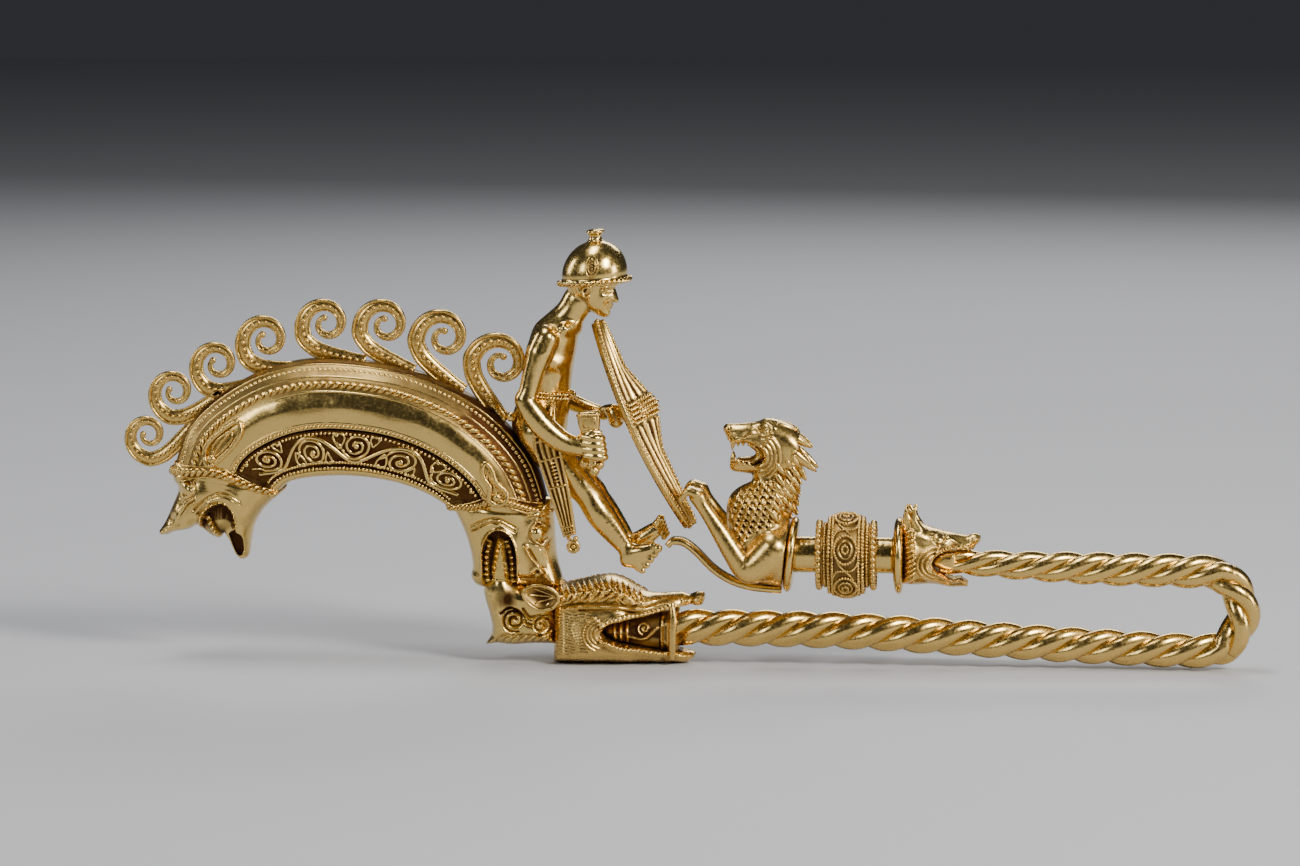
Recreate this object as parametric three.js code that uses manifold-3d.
// Gold fibula brooch: a warrior with helmet, shield and scabbard leans on an arched bow and faces a
// leaping hound, over a twisted rod that runs from a boar's mouth, round a bend, into a wolf's mouth.
//
// Units are millimetres. +X runs along the brooch towards the bend of the rod, +Z is up and -Y is the
// front. The origin lies under the middle of the brooch, on the surface that it stands on.
// The brooch is made of pieces that were soldered together, so touching pieces are separate meshes
// with a hairline gap between them.
import * as THREE from "three";
import { mergeVertices } from "three/addons/utils/BufferGeometryUtils.js";
import Module from "manifold-3d";

const wasm = await Module();
wasm.setup();

// ---------------------------------------------------------------- driving dimensions
const GAP = 0.06; // solder line between touching pieces

const ARCH_STEPS = 16;
const ARCH_HALF_WIDTH = 5.6; // at the crown, on the smooth swelling
const ARCH_END_WIDTH = 0.86; // share of the crown's width that is left at both collars
// Underside and ridge of the bow, from the left collar over the crown to the right collar.
const ARCH_INNER = [
  [-50.6, 20.9], [-49.0, 22.2], [-46.7, 22.8], [-44.2, 23.05], [-41.5, 23.1],
  [-38.5, 22.85], [-35.2, 22.2], [-32.0, 21.0], [-29.3, 19.4],
];
const ARCH_OUTER = [
  [-64.0, 23.2], [-61.4, 29.7], [-55.2, 34.7], [-48.1, 37.2], [-40.0, 37.2],
  [-32.0, 35.5], [-24.5, 31.5], [-19.1, 25.6], [-16.7, 18.7],
];
// Half of the bow's section: share of the height above the underside, share of the half width.
const ARCH_PROFILE = [
  [0.0, 0.62], [0.06, 0.77], [0.09, 0.71], [0.41, 0.84], [0.45, 0.95], [0.6, 1.0],
  [0.82, 0.76], [1.0, 0.2],
];
// The same for the hollow inside the bow's sheet metal.
const ARCH_HOLLOW = [[0.08, 0.5], [0.38, 0.62], [0.56, 0.83], [0.72, 0.75], [0.9, 0.28]];
// Hounds' ears laid back along the bow: root and tip of each, and their common distance and radii.
const LEFT_EAR = [[-58.2, 25.2], [-54.6, 30.0]];
const RIGHT_EAR = [[-22.0, 21.2], [-24.4, 26.2]];
const BOW_EAR = { y: 5.0, root: 1.3, middle: 1.1, tip: 0.5, flat: 0.7 };
// Filigree panel in the bow's recess: its reach along and across the bow, and the wire's wave on it.
const PANEL = {
  from: 0.06, to: 0.95, low: 0.1, high: 0.39, thick: 0.3, ridge: 0.5, curls: 6, steps: 18,
};
const PANEL_WAVE = 0.3;
const PANEL_WIDTH = [0.714, 0.836]; // share of the bow's half width at the panel's low and high edge

// Curl centre x and z, size and tilt in degrees of each spiral on the ridge.
const CREST = [
  [-66.94, 27.5, 0.9, 62], [-63.6, 32.9, 0.95, 47], [-58.2, 36.35, 0.97, 30], [-52.1, 39.45, 1.02, 16],
  [-44.6, 41.5, 1.0, 2], [-37.3, 41.4, 1.0, -12], [-30.05, 39.9, 1.05, -24], [-23.05, 36.8, 1.08, -40],
];
const CREST_THICK = 1.3;
const CURL_RADIUS = 1.8; // of the spiral's centre line, level with its centre on the right
const CURL_GROWTH = 0.166; // per radian
const CURL_FROM = -230; // degrees round the centre
const CURL_TO = 200;
const BAND_SHARE = 0.62; // width of the band over its distance from the centre
const CURL_TAIL = [[-1.9, -2.75, 2.0], [-0.1, -3.65, 2.0], [2.2, -4.3, 1.9], [4.6, -4.8, 1.6]];

const ROD = { lead: 12.6, steps: 63, bendX: 63.05, bendZ: 7.2, bendRadius: 4.86 };
const AXIS_Z = 13.6; // of the spool, its flanges and the wolf's collar
const TUBE_RADIUS = 2.28;
const FLANGE = { radius: 4.75, half: 0.6, hound: 12.7, wolf: 25.9 };
const HOUND_FLANGE_TILT = THREE.MathUtils.degToRad(6.5);
// Shaft through the boar's head: thin in the bore of the skull, thicker in the open mouth.
const SHAFT = { from: -18, taper: -10, thin: 1.7, end: -2.6, radius: 2.1, z: 4.3 };

// ---------------------------------------------------------------- solids from geometry
function solidOf(geometry) {
  const bare = geometry.clone();
  bare.deleteAttribute("normal");
  bare.deleteAttribute("uv");
  const merged = mergeVertices(bare, 1e-4);
  const triVerts = new Uint32Array(merged.index.array);
  const mesh = new wasm.Mesh({ numProp: 3, vertProperties: merged.attributes.position.array, triVerts });
  return new wasm.Manifold(mesh);
}

function geometryOf(solid) {
  const { numProp, vertProperties, triVerts } = solid.getMesh();
  const position = new Float32Array((vertProperties.length / numProp) * 3);
  for (let i = 0; i < position.length / 3; i++) {
    position.set(vertProperties.subarray(i * numProp, i * numProp + 3), i * 3);
  }
  const geometry = new THREE.BufferGeometry();
  geometry.setAttribute("position", new THREE.BufferAttribute(position, 3));
  geometry.setIndex(new THREE.BufferAttribute(triVerts, 1));
  geometry.computeVertexNormals();
  return geometry;
}

const join = (...solids) => solids.reduce((a, b) => a.add(b));
const cut = (solid, ...tools) => tools.reduce((a, b) => a.subtract(b), solid);

const bothSides = (make) => [-1, 1].map(make);

// A solid moved and turned by a three.js matrix.
function placed(solid, matrix) {
  return solidOf(geometryOf(solid).applyMatrix4(matrix));
}

// A closed body through rings of equally many points, with a flat cap at each end.
function loft(rings) {
  const sides = rings[0].length;
  const points = rings.flat();
  const faces = [];
  for (let i = 0; i + 1 < rings.length; i++) {
    for (let j = 0; j < sides; j++) {
      const [a, b] = [i * sides + j, i * sides + ((j + 1) % sides)];
      faces.push(a, b, a + sides, b, b + sides, a + sides);
    }
  }
  for (const [ring, flip] of [[0, false], [rings.length - 1, true]]) {
    const middle = rings[ring].reduce((sum, p) => sum.clone().add(p), new THREE.Vector3());
    points.push(middle.divideScalar(sides));
    for (let j = 0; j < sides; j++) {
      const [a, b] = [ring * sides + j, ring * sides + ((j + 1) % sides)];
      faces.push(...(flip ? [a, b, points.length - 1] : [b, a, points.length - 1]));
    }
  }
  let volume = 0;
  for (let i = 0; i < faces.length; i += 3) {
    const [a, b, c] = faces.slice(i, i + 3).map((k) => points[k]);
    volume += a.dot(b.clone().cross(c));
  }
  if (volume < 0) faces.reverse();
  return solidOf(new THREE.BufferGeometry().setFromPoints(points).setIndex(faces));
}

// An oval ring round a centre: half sizes along two directions, squarer as `power` drops below 1.
function ovalRing(centre, u, v, halfU, halfV, sides, power = 1) {
  const soft = (x) => Math.sign(x) * Math.abs(x) ** power;
  return Array.from({ length: sides }, (_, j) => {
    const a = ((j + 0.5) / sides) * 2 * Math.PI;
    return centre.clone()
      .addScaledVector(u, halfU * soft(Math.cos(a)))
      .addScaledVector(v, halfV * soft(Math.sin(a)));
  });
}

const ALONG_X = new THREE.Vector3(1, 0, 0);
const ALONG_Y = new THREE.Vector3(0, 1, 0);
const ALONG_Z = new THREE.Vector3(0, 0, 1);

// The last ring of a limb's round end: how far beyond the end it lies and its size, over the radius.
const ROUND_END = { beyond: 0.75, share: 0.6 };

const onSide = (points, side) => points.map(([x, y, z, radius]) => [x, side * y, z, radius]);

// A round-ended limb through points [x, y, z, radius], optionally flatter across the path's plane.
function limb(points, { sides = 7, steps = 2 * points.length, flat = 1 } = {}) {
  const curve = new THREE.CatmullRomCurve3(points.map(([x, y, z]) => new THREE.Vector3(x, y, z)));
  const last = points.length - 1;
  const radiusAt = (t) => {
    const k = Math.min(Math.floor(t * last), last - 1);
    return THREE.MathUtils.lerp(points[k][3], points[k + 1][3], t * last - k);
  };
  const stations = Array.from({ length: steps + 1 }, (_, i) => [i / steps, 0, 1]);
  stations.unshift([0, -ROUND_END.beyond, ROUND_END.share]);
  stations.push([1, ROUND_END.beyond, ROUND_END.share]);
  return loft(stations.map(([t, beyond, share]) => {
    const tangent = curve.getTangent(t);
    const side = Math.abs(tangent.y) > 0.9 ? ALONG_X : ALONG_Y;
    const u = side.clone().addScaledVector(tangent, -side.dot(tangent)).normalize();
    const v = tangent.clone().cross(u);
    const centre = curve.getPoint(t).addScaledVector(tangent, beyond * radiusAt(t));
    return ovalRing(centre, u, v, share * flat * radiusAt(t), share * radiusAt(t), sides);
  }));
}

function blob([x, y, z], [rx, ry, rz], turn = 0, around = 8, up = 6) {
  const geometry = new THREE.SphereGeometry(1, around, up).scale(rx, rz, ry).rotateX(Math.PI / 2);
  return solidOf(geometry.rotateY(-turn).translate(x, y, z));
}

// A body turned about an axis along +X: profile points [distance along x, radius].
function turned(profile, segments, tilt = 0, z = AXIS_Z) {
  const points = profile.map(([along, radius]) => new THREE.Vector2(radius, along));
  const geometry = new THREE.LatheGeometry(points, segments).rotateZ(-Math.PI / 2);
  const middle = (profile[0][0] + profile.at(-1)[0]) / 2;
  geometry.translate(-middle, 0, 0).rotateY(tilt).translate(middle, 0, z);
  const solid = solidOf(geometry);
  return solid.volume() < 0 ? solidOf(flipped(geometry)) : solid;
}

function flipped(geometry) {
  const copy = geometry.clone();
  copy.setIndex(Array.from(copy.index.array).reverse());
  return copy;
}

// A slab cut from an outline of [x, z] points, from y = low to y = high.
function slab(outline, low, high) {
  const shape = new THREE.Shape(outline.map(([x, z]) => new THREE.Vector2(x, z)));
  const geometry = new THREE.ExtrudeGeometry(shape, { depth: high - low, bevelEnabled: false });
  return solidOf(geometry.rotateX(Math.PI / 2).translate(0, high, 0));
}

// A slab that reaches through a head from side to side.
const THROUGH = 6;
const through = (outline) => slab(outline, -THROUGH, THROUGH);

// ---------------------------------------------------------------- bow
const inPlane = (points) => points.map(([x, z]) => new THREE.Vector3(x, 0, z));
const planeCurve = (points) => new THREE.CatmullRomCurve3(inPlane(points));
const archInner = planeCurve(ARCH_INNER);
const archOuter = planeCurve(ARCH_OUTER);

function archHalfWidth(t) {
  return ARCH_HALF_WIDTH * (ARCH_END_WIDTH + (1 - ARCH_END_WIDTH) * Math.sin(Math.PI * t));
}

// A point of the bow: t along it, height share above the underside, distance from the middle plane.
function archPoint(t, share, y) {
  return archInner.getPoint(t).lerp(archOuter.getPoint(t), share).setY(y);
}

// The section's outline at t, moved outwards by `grow`.
function archRing(t, grow = 0, profile = ARCH_PROFILE) {
  const height = archInner.getPoint(t).distanceTo(archOuter.getPoint(t));
  const half = profile.map(([share, width]) => {
    const lifted = share + (grow / height) * (2 * share - 1);
    return [lifted, width * archHalfWidth(t) + grow];
  });
  return [
    ...half.map(([share, y]) => archPoint(t, share, y)),
    ...half.toReversed().map(([share, y]) => archPoint(t, share, -y)),
  ];
}

// The bow, or a body that follows it: grown, longer at both ends or of another profile.
function archBody({ grow = 0, past = 0, profile = ARCH_PROFILE, steps = ARCH_STEPS } = {}) {
  const rings = Array.from({ length: steps + 1 }, (_, i) => archRing(i / steps, grow, profile));
  if (past > 0) {
    const beyond = (ring, t) => ring.map((point) => point.clone().addScaledVector(forwardAt(t), past));
    rings.unshift(beyond(rings[0], 0));
    rings.push(beyond(rings.at(-1), 1));
  }
  return loft(rings);
}

// A hound's ear laid back along the side of the bow, from beside the collar.
function laidBackEar([[x0, z0], [x1, z1]], side) {
  const { y, root, middle, tip, flat } = BOW_EAR;
  const half = [(x0 + x1) / 2, y, (z0 + z1) / 2, middle];
  return limb(onSide([[x0, y, z0, root], half, [x1, y, z1, tip]], side), { sides: 5, steps: 2, flat });
}

function bowArch() {
  const ears = bothSides((side) => join(laidBackEar(LEFT_EAR, side), laidBackEar(RIGHT_EAR, side)));
  return cut(join(archBody(), ...ears), archBody({ past: 1, profile: ARCH_HOLLOW, steps: 8 }));
}

// A point on a filigree panel, lifted off the bow's recess.
function panelPoint(along, across, lift, side) {
  const t = THREE.MathUtils.lerp(PANEL.from, PANEL.to, along);
  const share = THREE.MathUtils.lerp(PANEL.low, PANEL.high, across);
  const width = THREE.MathUtils.lerp(...PANEL_WIDTH, across) * archHalfWidth(t);
  return archPoint(t, share, side * (width + 2 * GAP + lift));
}

// A thin plate in the bow's recess. A wire winds along it, with a curl in each hollow of its wave.
function filigreePanel(side) {
  const { thick, ridge, curls, steps } = PANEL;
  return loft(Array.from({ length: steps + 1 }, (_, i) => {
    const along = i / steps;
    const wave = Math.sin(along * curls * Math.PI);
    const stem = 0.5 + PANEL_WAVE * wave;
    const curl = 0.5 - PANEL_WAVE * Math.sign(Math.round(wave * 10) || 1);
    const [low, high] = [Math.min(stem, curl), Math.max(stem, curl)];
    const lift = (across) => thick + (across === stem ? ridge : ridge * Math.abs(wave));
    const front = [0, low - 0.1, low, low + 0.1, high - 0.1, high, high + 0.1, 1].map((across, k) =>
      [across, k === 2 || k === 5 ? lift(across) : thick]);
    return [...front, [1, 0], [0, 0]].map(([across, rise]) => panelPoint(along, across, rise, side));
  }));
}

// ---------------------------------------------------------------- crest of spirals
function crestPath(x, z, size, tilt) {
  const steps = 10;
  const local = Array.from({ length: steps + 1 }, (_, i) => {
    const angle = THREE.MathUtils.degToRad(THREE.MathUtils.lerp(CURL_FROM, CURL_TO, i / steps));
    const radius = CURL_RADIUS * Math.exp(CURL_GROWTH * angle);
    return [radius * Math.cos(angle), radius * Math.sin(angle), BAND_SHARE * radius];
  });
  local.push(...CURL_TAIL);
  const turn = THREE.MathUtils.degToRad(tilt);
  return local.map(([a, b, width]) => [
    x + size * (a * Math.cos(turn) - b * Math.sin(turn)),
    z + size * (a * Math.sin(turn) + b * Math.cos(turn)),
    size * width,
  ]);
}

function crestSpiral([x, z, size, tilt], grow = 0) {
  const path = crestPath(x, z, size, tilt);
  const rings = path.map(([px, pz, width], i) => {
    const [before, after] = [path[Math.max(i - 1, 0)], path[Math.min(i + 1, path.length - 1)]];
    const run = new THREE.Vector3(after[0] - before[0], 0, after[1] - before[1]).normalize();
    const out = new THREE.Vector3(run.z, 0, -run.x);
    const centre = new THREE.Vector3(px, 0, pz);
    const half = [width / 2 + grow, CREST_THICK / 2 + grow];
    return [[1, 1], [-1, 1], [-1, -1], [1, -1]].map(([u, v]) =>
      centre.clone().addScaledVector(out, u * half[0]).addScaledVector(ALONG_Y, v * half[1]));
  });
  return loft(rings);
}

// ---------------------------------------------------------------- hounds' heads at the ends of the bow
// In a head's own frame +X runs from the neck to the muzzle, +Z towards the brow. Rings are
// [distance from the neck, throat, brow, half width].
const HOUND_RINGS = [
  [2.0, -5.9, 5.7, 4.55], [3.4, -5.1, 5.9, 4.25], [5.0, -4.6, 6.3, 3.8],
  [6.6, -4.3, 6.8, 3.2], [8.0, -4.25, 7.25, 2.6], [9.4, -4.0, 7.6, 1.9],
];
const HOUND_EYE = { centre: [2.5, 3.35, 4.3], size: [1.25, 1.0, 1.1], turn: 0.3 };
const LEFT_MOUTH = [
  [2.3, 0.0], [2.9, 1.1], [4.6, 1.9], [6.3, 2.4], [7.2, 4.5], [8.1, 6.6], [8.3, 9.0], [12, 9.0],
  [12, -3.3], [9.6, -3.4], [7.6, -1.9], [6.4, -1.3], [4.4, -1.5], [2.9, -1.1],
];
const RIGHT_MOUTH = [
  [2.4, 0.1], [3.1, 1.5], [4.8, 2.4], [12, 2.9], [12, -1.6], [5.2, -1.9], [3.2, -1.3],
];
const TONGUE = [[2.6, 0.9], [6.1, 1.3], [7.4, -0.4], [6.0, -0.8], [2.6, -0.9]];
const TONGUE_HALF = 1.1;
const BROKEN_JAW = [[7.9, -1.4], [10.2, -3.2], [8.0, -3.9]];
const BROKEN_JAW_HALF = 1.2;
const RIGHT_MUZZLE_END = [[9.0, -9], [9.0, 9], [12, 9], [12, -9]];
const NECK_INSET = 0.25; // of the neck inside the collar
// Wire ring round a neck: [distance from the bow's end, growth over the bow's section].
const COLLAR = [[GAP, 0], [GAP, 0.3], [0.6, 0.5], [1.1, 0.3], [1.1, 0]];

// A head's section has a point for each point of the bow's profile, so that the necks run into it.
function houndSection([x, low, high, half], grow) {
  const soft = (v) => Math.sign(v) * Math.abs(v) ** 0.8;
  const ring = ARCH_PROFILE.map(([share, width]) => {
    const a = Math.atan2(2 * share - 1, width);
    const z = (low + high) / 2 + ((high - low) / 2 + grow) * soft(Math.sin(a));
    return [(half + grow) * soft(Math.cos(a)), z];
  });
  return mirrored(ring, x);
}

// A closed ring at x from the +Y half of its outline, [y, z] from bottom to top.
const mirrored = (half, x) => [
  ...half.map(([y, z]) => new THREE.Vector3(x, y, z)),
  ...half.toReversed().map(([y, z]) => new THREE.Vector3(x, -y, z)),
];

// The bow's end section in a head's own frame, moved outwards by `grow`.
function neckSection(x, grow) {
  const height = archInner.getPoint(0).distanceTo(archOuter.getPoint(0)) + 2 * grow;
  const width = archHalfWidth(0);
  return mirrored(ARCH_PROFILE.map(([share, half]) => [half * width + grow, height * (share - 0.5)]), x);
}

function houndLoft(grow = 0) {
  const neck = [0.12, 1.2].map((x) => neckSection(x, grow - NECK_INSET));
  return loft([...neck, ...HOUND_RINGS.map((ring) => houndSection(ring, grow))]);
}

function houndEyes() {
  const { centre: [x, y, z], size, turn } = HOUND_EYE;
  return bothSides((side) => blob([x, side * y, z], size, turn, 6, 4));
}

// The matrix from a head's own frame to the brooch's, at the bow's end t.
function houndFrame(t) {
  const [inner, outer] = [archInner.getPoint(t), archOuter.getPoint(t)];
  const brow = outer.clone().sub(inner).normalize();
  const forward = t === 0 ? ALONG_Y.clone().cross(brow) : brow.clone().cross(ALONG_Y);
  if (forward.z > 0) forward.negate();
  const side = brow.clone().cross(forward);
  const middle = inner.clone().add(outer).multiplyScalar(0.5);
  return new THREE.Matrix4().makeBasis(forward, side, brow).setPosition(middle);
}

function leftHoundHead() {
  const brokenJaw = slab(BROKEN_JAW, -BROKEN_JAW_HALF, BROKEN_JAW_HALF);
  const head = cut(join(houndLoft(), ...houndEyes()), through(LEFT_MOUTH), brokenJaw);
  return placed(join(head, slab(TONGUE, -TONGUE_HALF, TONGUE_HALF)), houndFrame(0));
}

function rightHoundHead() {
  const head = cut(join(houndLoft(), ...houndEyes()), through(RIGHT_MOUTH), through(RIGHT_MUZZLE_END));
  return placed(head, houndFrame(1));
}

// A wire ring round a head's neck, against the end of the bow.
function neckCollar(t) {
  const layers = COLLAR.map(([x, grow]) => neckSection(x, grow));
  const rings = layers[0].map((_, j) => layers.map((layer) => layer[j]));
  return placed(closedLoft(rings), houndFrame(t));
}

const forwardAt = (t) => new THREE.Vector3().setFromMatrixColumn(houndFrame(t), 0);

// A body through rings that come back to the first one.
function closedLoft(rings) {
  const sides = rings[0].length;
  const points = rings.flat();
  const total = rings.length;
  const faces = [];
  for (let i = 0; i < total; i++) {
    for (let j = 0; j < sides; j++) {
      const [a, b] = [i * sides + j, i * sides + ((j + 1) % sides)];
      const [c, d] = [((i + 1) % total) * sides + j, ((i + 1) % total) * sides + ((j + 1) % sides)];
      faces.push(a, b, c, b, d, c);
    }
  }
  const geometry = new THREE.BufferGeometry().setFromPoints(points).setIndex(faces);
  const solid = solidOf(geometry);
  return solid.volume() < 0 ? solidOf(flipped(geometry)) : solid;
}

// ---------------------------------------------------------------- foot and boar's head
// The foot: a tongue-like shaft in the right hound's jaws, an elbow, and a shaft through the boar.
// Rings are [z, x, half length, half width].
const TONGUE_RINGS = [[16.2, -22.9, 0.7, 1.0], [14.2, -22.8, 1.35, 2.2], [10.2, -22.6, 1.7, 2.9]];
const ELBOW_RINGS = [
  [10.35, -22.6, 2.1, 3.1], [9.55, -21.2, 3.5, 3.7], [7.6, -20.9, 3.9, 3.9], [4.6, -20.8, 3.8, 3.9],
  [2.6, -20.9, 4.1, 3.9], [1.9, -21.0, 4.2, 3.8],
];
const MOUTH_FILL = 0.95; // share of the right hound's open mouth that the foot may fill

// A body through level squarish rings of [z, x, half length, half width].
function levelLoft(rings, sides, power) {
  return loft(rings.map(([z, x, halfX, halfY]) =>
    ovalRing(new THREE.Vector3(x, 0, z), ALONG_X, ALONG_Y, halfX, halfY, sides, power)));
}

function foot() {
  const { from, taper, thin, end, radius, z } = SHAFT;
  const shaft = turned([[from, 0], [from, thin], [taper, thin], [end, radius], [end, 0]], 8, 0, z);
  const body = join(levelLoft(TONGUE_RINGS, 10, 0.8), levelLoft(ELBOW_RINGS, 12, 0.75), shaft);
  return cut(body, placed(houndLoft(GAP), houndFrame(1)).subtract(mouthSpace()));
}

// The inside of the right hound's mouth, in the brooch's frame.
function mouthSpace() {
  const shrunk = RIGHT_MOUTH.map(([x, z]) => [x + GAP, z * MOUTH_FILL]);
  return placed(through(shrunk), houndFrame(1));
}

// Boar's head: stations [x, top, half width at the cheek] over a flat underside.
const BOAR_RINGS = [
  [-16.55, 8.9, 4.1], [-14.8, 9.8, 4.5], [-12.4, 10.7, 4.6], [-10.2, 11.0, 4.5], [-8.0, 10.6, 4.2],
  [-6.2, 9.6, 3.7], [-4.4, 8.9, 3.2], [-1.8, 8.75, 2.8], [1.9, 9.0, 2.0],
];
const BOAR_MOUTH = [
  [-10.6, 3.8], [-9.6, 5.0], [-6.0, 5.7], [-3.6, 6.25], [-0.6, 6.9], [2.4, 7.1], [4, 7.1],
  [4, 1.3], [0.2, 1.35], [-2.6, 1.5], [-7.0, 2.0], [-9.8, 2.7],
];

const BOAR_GROUND = [[-20, 0], [4, 0], [4, -2], [-20, -2]];
const BOAR_CHIN = [[0.9, -1], [0.0, 2.0], [4, 2.0], [4, -1]];
const BOAR_GULLET = [[-10.2, 0], [-10.2, 1.9], [3, 2.85], [3, 0]];
const BOAR_EAR = [[-14.6, 4.0, 8.3, 1.0], [-16.9, 4.7, 8.5, 1.5], [-19.8, 5.0, 9.1, 0.5]];
const BOAR_TUSK = [[-1.7, 2.8, 1.0, 0.42], [-1.6, 2.9, 4.2, 0.5], [-1.75, 2.45, 7.6, 0.42]];
const BOAR_NOSE = { centre: [2.2, 0, 8.0], size: [0.7, 1.9, 1.15], turn: -0.25 };
const BOAR_SECTION = { middle: 4.6, below: 5.2 };

// The skull's section at x: round above, square below, and open under the ground plane.
function boarSection([x, top, half]) {
  const { middle, below } = BOAR_SECTION;
  const soft = (v, power) => Math.sign(v) * Math.abs(v) ** power;
  return Array.from({ length: 12 }, (_, j) => {
    const a = ((j + 0.5) / 12) * 2 * Math.PI;
    const above = Math.sin(a) > 0;
    const rise = above ? (top - middle) * soft(Math.sin(a), 0.9) : below * soft(Math.sin(a), 0.35);
    return new THREE.Vector3(x, half * soft(Math.cos(a), 0.75), middle + rise);
  });
}

function boarHead() {
  const skull = loft(BOAR_RINGS.map(boarSection));
  const { from, thin, taper, z } = SHAFT;
  const wide = thin + GAP;
  const bore = turned([[from, 0], [from, wide], [taper + 1, wide], [taper + 1, 0]], 8, 0, z);
  const gullet = turned(BOAR_GULLET, 8, 0, z);
  const ears = bothSides((side) => limb(onSide(BOAR_EAR, side), { sides: 6, steps: 2, flat: 0.45 }));
  const tusks = bothSides((side) => limb(onSide(BOAR_TUSK, side), { sides: 4, steps: 2 }));
  const nose = blob(BOAR_NOSE.centre, BOAR_NOSE.size, BOAR_NOSE.turn, 6, 4);
  const head = cut(skull, through(BOAR_MOUTH), through(BOAR_CHIN), through(BOAR_GROUND), bore, gullet);
  return join(head, nose, ...ears, ...tusks);
}

// ---------------------------------------------------------------- twisted rod
// Centre line of the rod in the middle plane, with its radius: along the ground, round the bend, back.
const ROD_LOWER = [
  [-2.4, 4.35, 2.3], [10, 4.35, 2.33], [22.4, 4.1, 2.33], [38.3, 3.3, 2.3], [50.6, 2.7, 2.25],
];
const ROD_BEND = [-85, -50, -15, 20, 55, 88]; // degrees round the bend's centre
const BEND_ROD_RADIUS = 2.16;
const ROD_UPPER = [[50.6, 12.3, 2.1], [41.5, 12.55, 1.85], [35.5, 12.8, 1.68], [31.2, 12.95, 1.55]];

function rodPath() {
  const { bendX, bendZ, bendRadius } = ROD;
  const bend = ROD_BEND.map((degrees) => {
    const angle = THREE.MathUtils.degToRad(degrees);
    const [x, z] = [bendX + bendRadius * Math.cos(angle), bendZ + bendRadius * Math.sin(angle)];
    return [x, z, BEND_ROD_RADIUS];
  });
  return [...ROD_LOWER, ...bend, ...ROD_UPPER];
}

// The section of three wires twisted together: angle from the first groove, share of the radius.
const TWIST_SECTION = [0, 120, 240].flatMap((wire) => [[wire, 0.6], [wire + 38, 1], [wire + 82, 1]]);

function torsade() {
  const path = rodPath();
  const curve = new THREE.CatmullRomCurve3(inPlane(path), false, "centripetal");
  const radii = planeCurve(path.map(([, , radius], i) => [i, radius]));
  const length = curve.getLength();
  const rings = Array.from({ length: ROD.steps + 1 }, (_, i) => {
    const t = i / ROD.steps;
    const tangent = curve.getTangentAt(t);
    const up = new THREE.Vector3(-tangent.z, 0, tangent.x);
    const centre = curve.getPointAt(t);
    const radius = radii.getPoint(curve.getUtoTmapping(t, 0)).z;
    const twist = (t * length) / ROD.lead;
    return TWIST_SECTION.map(([degrees, share]) => {
      const a = (degrees / 360 + twist) * 2 * Math.PI;
      return centre.clone()
        .addScaledVector(ALONG_Y, -share * radius * Math.cos(a))
        .addScaledVector(up, share * radius * Math.sin(a));
    });
  });
  return loft(rings);
}

// ---------------------------------------------------------------- spool, flanges and wolf's head
// A ring threaded on the tube: half of its outline as [x, radius], from left to right.
function threaded(outline, segments) {
  const bore = (TUBE_RADIUS + GAP) / Math.cos(Math.PI / segments);
  const [left, right] = [outline[0][0], outline.at(-1)[0]];
  return turned([[left, bore], ...outline, [right, bore], [left, bore]], segments);
}

const BEAD_PROFILE = [[17.25, 4.0], [18.2, 4.95], [19.55, 5.4], [20.9, 4.95], [21.85, 4.0]];
const BEADED_RING = { half: 0.62, edge: 3.9, radius: 4.35, left: 16.5, right: 22.55 };

const filigreeBead = () => threaded(BEAD_PROFILE, 16);

function beadedRing(x) {
  const { half, edge, radius } = BEADED_RING;
  return threaded([[x - half, edge], [x, radius], [x + half, edge]], 12);
}

function flange(x, tilt) {
  const { radius, half } = FLANGE;
  const [left, right] = [x - half, x + half];
  const profile = [[left, 0], [left, radius - 0.45], [x, radius], [right, radius - 0.3], [right, 0]];
  return turned(profile, 16, tilt);
}

// The space from `from` to `to` along the axis of the tilted flange behind the leaping hound.
function alongFlange(from, to) {
  const tilt = HOUND_FLANGE_TILT;
  const corner = (run, rise) => [
    FLANGE.hound + run * Math.cos(tilt) + rise * Math.sin(tilt),
    AXIS_Z - run * Math.sin(tilt) + rise * Math.cos(tilt),
  ];
  return slab([corner(from, -8), corner(from, 8), corner(to, 8), corner(to, -8)], -8, 8);
}

function spoolTube() {
  const [left, right] = [FLANGE.hound, FLANGE.wolf - FLANGE.half - GAP];
  const whole = turned([[left, 0], [left, TUBE_RADIUS], [right, TUBE_RADIUS], [right, 0]], 14);
  return cut(whole, alongFlange(-4, FLANGE.half + GAP));
}

const WOLF_RINGS = [
  [26.95, 10.0, 17.6, 3.4], [28.2, 10.0, 18.0, 3.5], [29.8, 9.9, 17.5, 3.3], [31.8, 9.85, 16.95, 2.9],
  [33.4, 9.9, 16.7, 2.4], [34.8, 10.3, 16.5, 2.0], [35.7, 11.0, 16.1, 1.6],
];
const WOLF_MOUTH = [
  [29.9, 12.9], [31.2, 14.2], [33.2, 14.6], [35.4, 14.9], [37, 14.9], [37, 8], [34.2, 9.8],
  [33.8, 10.9], [31.8, 11.3], [30.3, 12.0],
];
const WOLF_EAR = [[28.6, 1.7, 17.2, 0.9], [27.3, 2.1, 19.7, 0.3]];
const WOLF_NOSE = { centre: [35.4, 0, 15.9], size: [0.8, 1.3, 0.75] };
const WOLF_ROD_SEAT = [[30.6, 0, 13.0, 1.8], [38, 0, 12.7, 2.0]];

// A skull through upright oval rings of [x, low, high, half width].
function skullLoft(rings, power) {
  return loft(rings.map(([x, low, high, half]) => {
    const centre = new THREE.Vector3(x, 0, (low + high) / 2);
    return ovalRing(centre, ALONG_Y, ALONG_Z, half, (high - low) / 2, 10, power);
  }));
}

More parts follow.
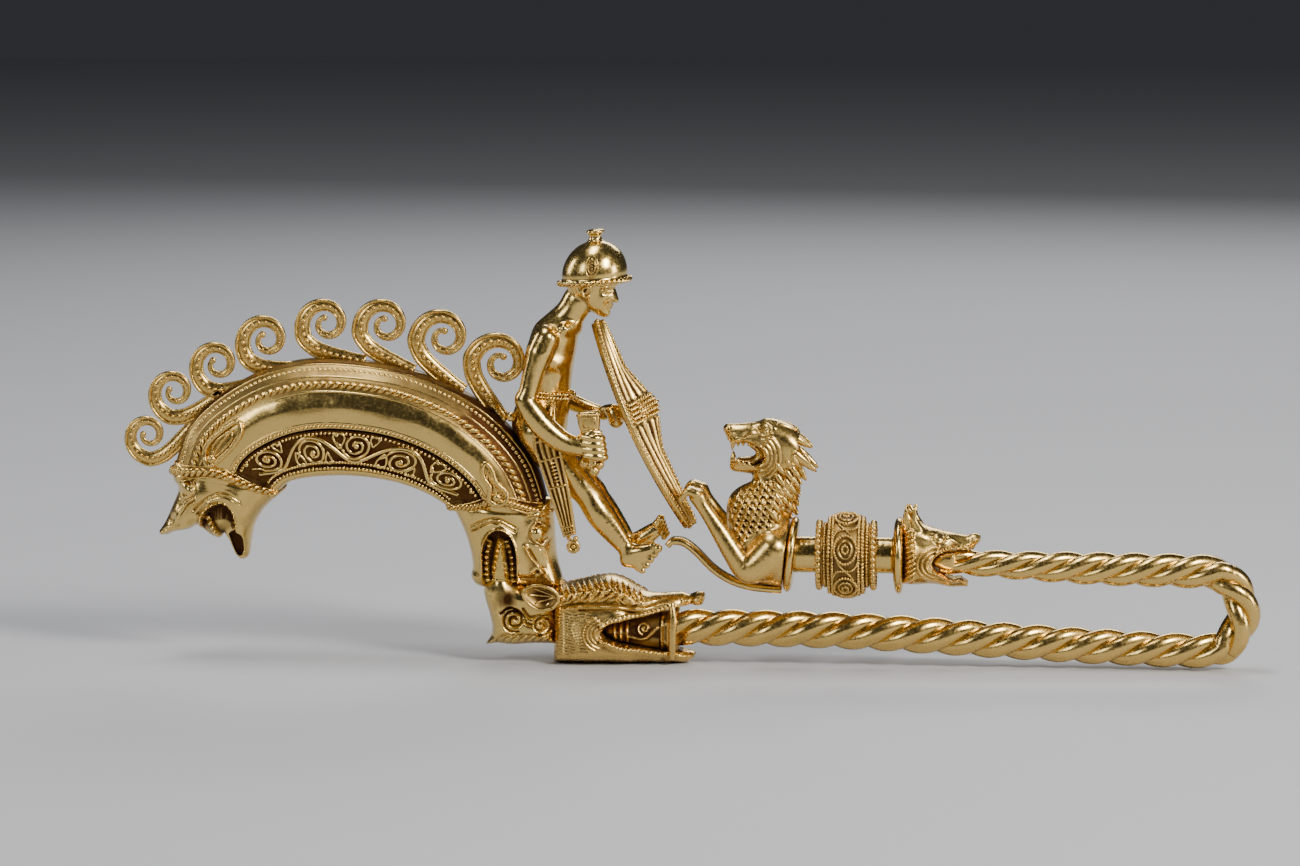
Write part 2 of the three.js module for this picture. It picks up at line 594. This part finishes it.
function wolfHead() {
  const ears = bothSides((side) => limb(onSide(WOLF_EAR, side), { sides: 5, steps: 1, flat: 0.8 }));
  const nose = blob(WOLF_NOSE.centre, WOLF_NOSE.size, 0, 6, 4);
  const seat = limb(WOLF_ROD_SEAT, { sides: 10, steps: 1 });
  return cut(join(skullLoft(WOLF_RINGS, 0.85), nose, ...ears), through(WOLF_MOUTH), seat);
}

// ---------------------------------------------------------------- leaping hound
// Neck and mane: [z, front, back, half width].
const MANE_RINGS = [
  [14.6, 7.4, 12.4, 2.8], [16.6, 5.7, 12.6, 3.3], [18.8, 4.9, 13.0, 3.4], [21.0, 5.8, 14.2, 3.2],
  [23.0, 7.6, 15.2, 2.8], [25.0, 8.6, 15.9, 2.5],
];
const BEAST_HEAD_RINGS = [
  [15.6, 24.6, 27.0, 1.2], [14.4, 24.0, 28.5, 2.0], [12.6, 23.5, 29.8, 2.55], [10.6, 23.4, 30.4, 2.6],
  [8.8, 23.5, 30.2, 2.2], [7.0, 23.6, 29.9, 1.8], [5.4, 23.8, 29.75, 1.5], [4.5, 24.6, 29.3, 1.1],
];
const BEAST_MOUTH = [
  [9.7, 26.3], [9.0, 27.2], [7.2, 27.6], [5.2, 27.2], [2, 27.9], [2, 25.4], [5.3, 25.4], [7.4, 24.9],
  [9.2, 25.2],
];
// Chest: [x, z, half height, half width].
const CHEST_RINGS = [
  [12.9, 13.9, 4.1, 3.8], [10.0, 14.0, 4.1, 3.9], [8.2, 14.1, 3.9, 3.7], [6.9, 14.6, 3.0, 2.6],
];
const BEAST_LEG = [
  [10.4, 3.2, 14.2, 2.3], [7.8, 3.7, 12.4, 1.7], [4.7, 3.5, 15.8, 1.2], [2.2, 3.1, 19.2, 0.95],
  [0.3, 2.8, 20.9, 0.9],
];
const BEAST_EAR = [[12.0, 1.9, 28.6, 0.8], [14.2, 2.1, 26.8, 0.9], [16.0, 1.9, 24.4, 0.3]];
const MANE_LOCKS = [
  [[13.5, 0, 24.3, 1.15], [15.5, 0, 22.9, 0.35]],
  [[12.9, 0, 22.1, 1.15], [14.6, 0, 20.7, 0.35]],
];

// A body through level oval rings of [z, left, right, half width].
function uprightBody(rings) {
  return loft(rings.map(([z, left, right, half]) => {
    const centre = new THREE.Vector3((left + right) / 2, 0, z);
    return ovalRing(centre, ALONG_X, ALONG_Y, (right - left) / 2, half, 10);
  }));
}

function beast() {
  const chest = loft(CHEST_RINGS.map(([x, z, halfZ, halfY]) =>
    ovalRing(new THREE.Vector3(x, 0, z), ALONG_Y, ALONG_Z, halfY, halfZ, 12)));
  const neck = uprightBody(MANE_RINGS);
  const head = skullLoft(BEAST_HEAD_RINGS, 0.85);
  const legs = bothSides((side) => limb(onSide(BEAST_LEG, side), { sides: 6, steps: 5 }));
  const ears = bothSides((side) => limb(onSide(BEAST_EAR, side), { sides: 5, steps: 1 }));
  const locks = MANE_LOCKS.map((points) => limb(points, { sides: 5, steps: 1, flat: 2 }));
  const upper = cut(join(neck, head, ...ears, ...locks), through(BEAST_MOUTH));
  return cut(join(upper, chest, ...legs), alongFlange(-FLANGE.half - GAP, 6));
}

// The strip under the hound's belly, reaching to the warrior's feet.
const STRIP = [
  [-2.5, 14.5], [-1.2, 15.1], [0.6, 14.3], [3.2, 11.5], [5.4, 9.9], [7.4, 9.45], [9.3, 9.35],
  [11.2, 9.3],
];
const STRIP_HALF = { wide: 1.3, thick: 0.45 };
const STRIP_STEPS = 12;

function supportStrip() {
  const curve = planeCurve(STRIP);
  return loft(Array.from({ length: STRIP_STEPS + 1 }, (_, i) => {
    const tangent = curve.getTangent(i / STRIP_STEPS);
    const up = new THREE.Vector3(-tangent.z, 0, tangent.x);
    const middle = curve.getPoint(i / STRIP_STEPS);
    return [[1, 1], [-1, 1], [-1, -1], [1, -1]].map(([u, v]) => middle.clone()
      .addScaledVector(ALONG_Y, STRIP_HALF.wide * u)
      .addScaledVector(up, STRIP_HALF.thick * v));
  }));
}

// ---------------------------------------------------------------- warrior and his arms
// Torso: [z, back, front, half width].
const TORSO_RINGS = [
  [25.9, -19.6, -16.2, 2.0], [27.2, -20.9, -15.6, 2.75], [29.2, -21.0, -15.3, 2.95],
  [31.4, -20.4, -15.4, 2.7], [33.4, -20.0, -15.3, 2.5], [35.6, -20.2, -14.6, 3.0],
  [38.0, -20.2, -13.9, 3.5], [40.2, -19.4, -13.8, 3.6], [41.4, -18.2, -14.2, 2.4],
];
const NECK = [[-16.2, 0, 40.2, 1.7], [-14.4, 0, 43.2, 1.6], [-12.8, 0, 45.4, 1.9]];
const HEAD = { centre: [-11.9, 0, 45.3], size: [3.7, 2.75, 2.9], turn: 0.15 };
const NOSE = [[-8.7, 0, 46.0, 0.45], [-8.3, 0, 44.4, 0.6]];
const SHOULDER = [-17.2, 3.5, 40.3, 1.45];
const NEAR_ARM = [
  SHOULDER, [-18.7, 4.2, 37.0, 1.2], [-19.5, 4.65, 33.4, 1.25], [-17.3, 4.75, 29.9, 1.35],
  [-14.7, 4.85, 27.6, 1.3], [-12.4, 4.9, 27.2, 1.2],
];
const FAR_ARM = [
  SHOULDER, [-17.8, 4.4, 37.0, 1.2], [-17.2, 5.25, 33.6, 1.25], [-13.4, 4.1, 31.6, 1.1],
  [-9.2, 1.6, 30.5, 1.0],
];
const LEG = [
  [-17.9, 1.5, 27.6, 2.2], [-15.3, 1.6, 24.9, 2.0], [-12.2, 1.6, 20.6, 1.45], [-9.6, 1.6, 17.3, 1.5],
  [-6.7, 1.5, 13.9, 0.95],
];
const NEAR_FOOT = [[-7.1, -1.6, 12.9, 1.1], [-4.6, -1.7, 12.3, 0.95], [-3.2, -1.7, 14.2, 0.5]];
const FAR_FOOT = [[-6.8, 1.5, 13.1, 1.0], [-4.9, 1.5, 15.2, 0.95], [-2.7, 1.5, 17.6, 0.5]];
const FIST = [-11.5, -4.9, 27.2];
const FIST_SIZE = [1.55, 1.45, 1.6];
const GRIP = { top: [-12.0, FIST[1], 30.4], bottom: [-11.3, FIST[1], 24.9], radius: 0.62 };

function grip(grow = 0) {
  const { top, bottom, radius } = GRIP;
  return limb([[...top, radius + grow], [...bottom, radius + grow]], { sides: 6, steps: 1 });
}

function warrior() {
  const torso = uprightBody(TORSO_RINGS);
  const neck = limb(NECK, { sides: 8, steps: 1 });
  const head = blob(HEAD.centre, HEAD.size, HEAD.turn, 10, 6);
  const nose = limb(NOSE, { sides: 5, steps: 1 });
  const nearArm = limb(onSide(NEAR_ARM, -1), { sides: 6, steps: 6 });
  const farArm = limb(FAR_ARM, { sides: 6, steps: 5 });
  const fist = blob(FIST, FIST_SIZE, 0, 7, 5);
  const legs = bothSides((side) => limb(onSide(LEG, side), { sides: 7, steps: 5 }));
  const nearFoot = limb(NEAR_FOOT, { sides: 6, steps: 2, flat: 1.4 });
  const farFoot = limb(FAR_FOOT, { sides: 6, steps: 2 });
  const body = join(torso, neck, head, nose, nearArm, farArm, fist, ...legs, nearFoot, farFoot);
  return cut(body, grip(GAP), underHelmet(), archBody({ grow: GAP }));
}

// Bowl helmet with a rolled brim and a knob, tilted up a little at the front.
const HELMET = { x: -11.5, z: 47.05, tilt: 0.08, inside: 0.45 };
// [radius, height over the brim], from the underside over the brim to the knob.
const HELMET_PROFILE = [
  [0, HELMET.inside], [3.6, HELMET.inside], [4.3, -0.35], [4.6, 0.0], [3.9, 0.45], [3.8, 1.6],
  [3.2, 3.3], [1.9, 4.55], [0.5, 5.0], [0.5, 5.6], [1.05, 6.1], [0, 6.45],
];

function helmet() {
  const profile = HELMET_PROFILE.map(([radius, height]) => new THREE.Vector2(radius, height));
  const geometry = new THREE.LatheGeometry(profile, 13).rotateX(Math.PI / 2);
  geometry.rotateY(-HELMET.tilt).translate(HELMET.x, 0, HELMET.z);
  const solid = solidOf(geometry);
  return solid.volume() < 0 ? solidOf(flipped(geometry)) : solid;
}

// The space over the helmet's flat underside, which closes the top of the head.
function underHelmet() {
  const { x, z, tilt, inside } = HELMET;
  const at = (run, rise) => [x + run - rise * tilt, z + inside - GAP + rise + run * tilt];
  return slab([at(-5, 0), at(5, 0), at(5, 4), at(-5, 4)], -5, 5);
}

// Oval shield, slightly curved, with a spindle boss and a band over its middle.
const SHIELD = {
  top: [-10.4, 42.0], bottom: [0.1, 17.3], half: 5.1, endShare: 0.26, bulge: 0.9, thick: 0.9,
};
const BOSS = { at: 0.44, reach: 0.36, rise: 1.5, halfShare: 0.6 };

function shield() {
  const origin = new THREE.Vector3(SHIELD.top[0], 0, SHIELD.top[1]);
  const down = new THREE.Vector3(SHIELD.bottom[0], 0, SHIELD.bottom[1]).sub(origin);
  const length = down.length();
  down.normalize();
  const out = new THREE.Vector3(-down.z, 0, down.x);
  const stations = 8;
  const across = [-1, -0.6, -0.25, 0, 0.25, 0.6, 1];
  const rings = Array.from({ length: stations + 1 }, (_, i) => {
    const s = i / stations;
    const share = SHIELD.endShare + (1 - SHIELD.endShare) * Math.sin(Math.PI * s) ** 0.7;
    const boss = BOSS.rise * Math.max(0, 1 - Math.abs(s - BOSS.at) / BOSS.reach) ** 1.2;
    const at = (u, lift) => origin.clone()
      .addScaledVector(down, s * length)
      .addScaledVector(ALONG_Y, u * share * SHIELD.half)
      .addScaledVector(out, lift - SHIELD.bulge * u * u);
    const onBoss = (u) => (Math.abs(u) < 0.4 ? boss * (1 - Math.abs(u) / BOSS.halfShare) : 0);
    const front = across.map((u) => at(u, SHIELD.thick + onBoss(u)));
    const back = across.toReversed().map((u) => at(u, 0));
    return [...front, ...back];
  });
  return loft(rings);
}

// Stations of the scabbard are [x, y, z, half width]; its section is [share of that, thickness].
const SCABBARD_STATIONS = [
  [-16.9, -4.2, 26.8, 0.95], [-16.3, -4.15, 24.4, 0.9], [-15.0, -3.7, 19.4, 0.75],
  [-13.95, -3.2, 15.6, 0.5],
];
const SCABBARD_SECTION = [[1, 0.25], [0.35, 0.5], [-0.35, 0.5], [-1, 0.25], [-1, -0.35], [1, -0.35]];
const CHAPE = { centre: [-13.75, -3.1, 14.75], size: [0.85, 0.5, 0.95] };

// Scabbard at the right hip, ribbed, with a ring-shaped chape.
function scabbard() {
  const wide = new THREE.Vector3(0.965, 0, 0.26);
  const rings = SCABBARD_STATIONS.map(([x, y, z, half]) =>
    SCABBARD_SECTION.map(([u, v]) => new THREE.Vector3(x, y - v, z).addScaledVector(wide, u * half)));
  return join(loft(rings), blob(CHAPE.centre, CHAPE.size, 0, 8, 4));
}

// Pommel: [z, half width] over one x, with one half depth. Lobes of the guard: [x, z] and their size.
const POMMEL = { x: -12.2, depth: 0.85, rings: [[29.0, 1.05], [30.0, 1.35], [31.1, 1.3], [31.6, 0.8]] };
const GUARD_LOBES = [[-12.3, 25.0], [-11.2, 24.5], [-10.2, 25.3]];
const LOBE_SIZE = [0.72, 0.75, 0.72];

// Sword hilt in the right fist: pommel above, lobed guard below; the blade is lost.
function swordHilt() {
  const { x: middle, depth, rings } = POMMEL;
  const pommel = loft(rings.map(([z, half]) =>
    ovalRing(new THREE.Vector3(middle, FIST[1], z), ALONG_X, ALONG_Y, half, depth, 8, 0.7)));
  const lobes = GUARD_LOBES.map(([x, z]) => blob([x, FIST[1], z], LOBE_SIZE, 0, 5, 3));
  return join(grip(), pommel, ...lobes);
}

// ---------------------------------------------------------------- assembly
function gold(name, color, roughness) {
  return new THREE.MeshStandardMaterial({ name, color, roughness, metalness: 1 });
}

const POLISHED = gold("polished_gold", 0xd9a441, 0.28);
const WORKED = gold("worked_gold", 0xc08a35, 0.4);
const DARK = gold("shadowed_gold", 0x8f5a26, 0.5);

const brooch = new THREE.Group();

function add(name, solid, material) {
  const mesh = new THREE.Mesh(geometryOf(solid), material);
  mesh.name = name;
  brooch.add(mesh);
}

add("bow_arch", bowArch(), POLISHED);
const bowClearance = archBody({ grow: GAP, past: 0.2 });
add("front_filigree_panel", filigreePanel(-1), DARK);
add("back_filigree_panel", filigreePanel(1), DARK);
CREST.forEach((spec, i) => {
  const neighbours = CREST.slice(0, i).map((other) => crestSpiral(other, GAP));
  add(`crest_spiral_${i + 1}`, cut(crestSpiral(spec), bowClearance, ...neighbours), WORKED);
});
add("left_hound_head", leftHoundHead(), POLISHED);
add("right_hound_head", rightHoundHead(), POLISHED);
add("left_neck_collar", neckCollar(0), WORKED);
add("right_neck_collar", neckCollar(1), WORKED);
add("foot", foot(), POLISHED);
add("boar_head", boarHead(), WORKED);
add("torsade", torsade(), POLISHED);
add("wolf_head", wolfHead(), WORKED);
add("wolf_flange", flange(FLANGE.wolf, 0), POLISHED);
add("spool_tube", spoolTube(), POLISHED);
add("filigree_bead", filigreeBead(), WORKED);
add("beaded_ring_left", beadedRing(BEADED_RING.left), WORKED);
add("beaded_ring_right", beadedRing(BEADED_RING.right), WORKED);
add("hound_flange", flange(FLANGE.hound, HOUND_FLANGE_TILT), POLISHED);
add("leaping_hound", beast(), WORKED);
add("support_strip", supportStrip(), POLISHED);
add("warrior", warrior(), POLISHED);
add("helmet", helmet(), POLISHED);
add("shield", shield(), WORKED);
add("scabbard", scabbard(), WORKED);
add("sword_hilt", swordHilt(), WORKED);

export default brooch;
